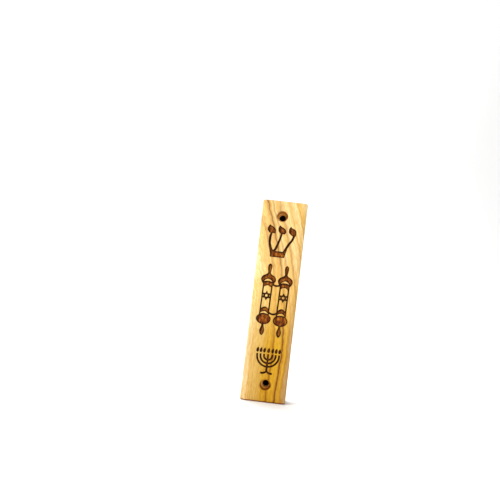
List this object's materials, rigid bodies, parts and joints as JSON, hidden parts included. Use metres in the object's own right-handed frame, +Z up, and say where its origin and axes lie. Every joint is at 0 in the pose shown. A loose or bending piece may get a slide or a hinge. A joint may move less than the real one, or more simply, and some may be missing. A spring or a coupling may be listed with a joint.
{
  "type": "mezuzah case",
  "caption": "Engraved olive wood case for a doorpost, with two screw holes, a sliding dovetailed back cover and a rolled parchment inside.",
  "frame": {"origin": "centre of the flat back face, which lies on the doorpost", "axes": "+X to the right for someone who looks at the front, +Y from the front into the doorpost, +Z up along the case"},
  "size_m": [0.0232, 0.014, 0.104],
  "materials": {
    "olive_wood": "oiled olive wood with golden streaks and a burnt engraving",
    "cover_wood": "sanded olive wood",
    "parchment": "matte scraped parchment",
    "clear_film": "thin clear film",
    "band_rubber": "amber elastic band with a dusty skin"
  },
  "bodies": {
    "case": {"case_body": "olive_wood", "scroll_parchment": "parchment", "scroll_wrap": "clear_film", "scroll_band": "band_rubber"},
    "cover": {"back_cover": "cover_wood"}
  },
  "joints": [
    {"name": "cover_slide", "type": "slide", "parent": "case", "child": "cover", "axis": [0, 0, 1], "range_m": [0, 0.092]}
  ]
}
